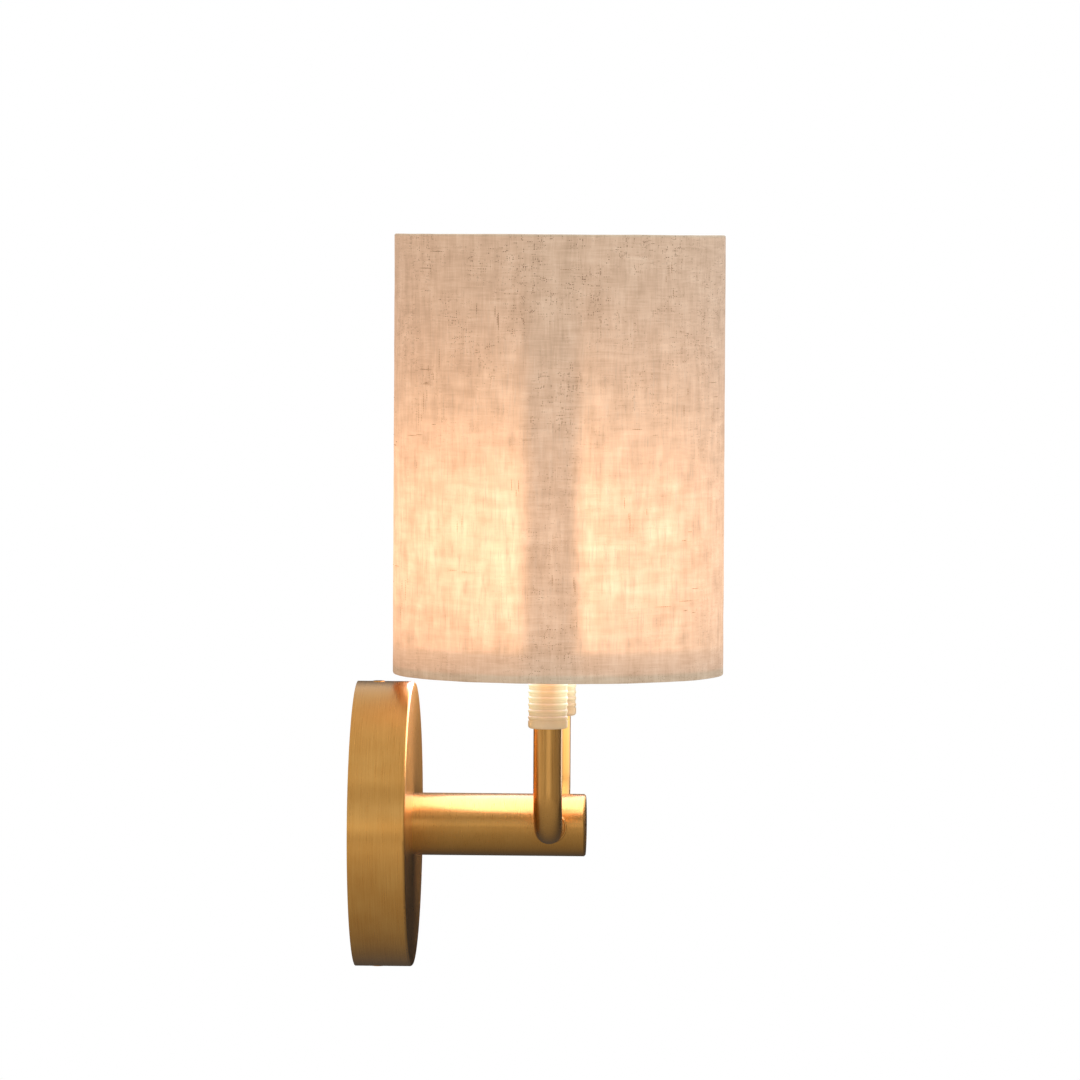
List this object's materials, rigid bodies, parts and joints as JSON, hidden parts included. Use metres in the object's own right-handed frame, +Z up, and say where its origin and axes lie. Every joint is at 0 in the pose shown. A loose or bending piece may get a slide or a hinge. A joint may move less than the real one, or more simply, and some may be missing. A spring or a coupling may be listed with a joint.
{
  "type": "wall sconce",
  "caption": "Wall sconce with a tall linen drum shade on ribbed lampholders, satin brass elbow tubes, a stout horizontal arm and a round wall plate.",
  "frame": {"origin": "the centre of the fixing slots on the wall, on the arm's axis", "axes": "+X out of the wall into the room, +Y along the wall to the right as seen from the room, +Z up"},
  "size_m": [0.205, 0.185, 0.4113],
  "materials": {
    "satin_brass": "brushed satin, lacquered",
    "bare_brass": "turned",
    "zinc_steel": "zinc plated",
    "ivory_plastic": "matt moulded",
    "milky_holder": "milky, lets some light through",
    "white_ceramic": "glazed white",
    "lamp_glass": "frosted",
    "light_strip": "glows warm white",
    "nickel_base": "rolled nickel",
    "linen": "plain weave with slubs",
    "shade_liner": "translucent sheet",
    "ring_steel": "white powder coat",
    "lead_sheath": "clear sleeve over wires"
  },
  "bodies": {
    "fixture": {"wall_bracket": "zinc_steel", "backplate_cover": "satin_brass", "cover_screws": "satin_brass", "earth_screw": "bare_brass", "terminal_block": "ivory_plastic", "terminal_screws": "bare_brass", "arm_tube": "satin_brass", "arm_root_plug": "satin_brass", "arm_nipple": "bare_brass", "arm_washer": "zinc_steel", "arm_lock_nut": "bare_brass", "arm_end_cap": "satin_brass", "left_elbow_tube": "satin_brass", "right_elbow_tube": "satin_brass", "elbow_bushes": "bare_brass", "holder_nipples": "bare_brass", "left_lampholder": "milky_holder", "right_lampholder": "milky_holder", "left_socket_insert": "white_ceramic", "right_socket_insert": "white_ceramic", "left_screw_shell": "bare_brass", "right_screw_shell": "bare_brass", "left_centre_contact": "bare_brass", "right_centre_contact": "bare_brass", "left_lead": "lead_sheath", "right_lead": "lead_sheath"},
    "shade": {"shade_linen": "linen", "shade_liner": "shade_liner", "shade_top_ring": "ring_steel", "shade_bottom_ring": "ring_steel", "shade_fitter": "ring_steel"},
    "left_nut": {"left_ring_nut": "milky_holder"},
    "right_nut": {"right_ring_nut": "milky_holder"},
    "left_lamp": {"left_lamp_base": "nickel_base", "left_lamp_glass": "lamp_glass", "left_lamp_strips": "light_strip"},
    "right_lamp": {"right_lamp_base": "nickel_base", "right_lamp_glass": "lamp_glass", "right_lamp_strips": "light_strip"}
  },
  "joints": [
    {"name": "shade_lift", "type": "slide", "parent": "fixture", "child": "shade", "axis": [0, 0, 1], "range_m": [0, 0.13]},
    {"name": "left_nut_turn", "type": "hinge", "parent": "shade", "child": "left_nut", "pos_m": [0.1095, -0.054, 0.094], "axis": [0, 0, 1], "continuous": true},
    {"name": "right_nut_turn", "type": "hinge", "parent": "shade", "child": "right_nut", "pos_m": [0.1095, 0.054, 0.094], "axis": [0, 0, 1], "continuous": true},
    {"name": "left_lamp_lift", "type": "slide", "parent": "fixture", "child": "left_lamp", "axis": [0, 0, 1], "range_m": [0, 0.031]},
    {"name": "right_lamp_lift", "type": "slide", "parent": "fixture", "child": "right_lamp", "axis": [0, 0, 1], "range_m": [0, 0.031]}
  ]
}
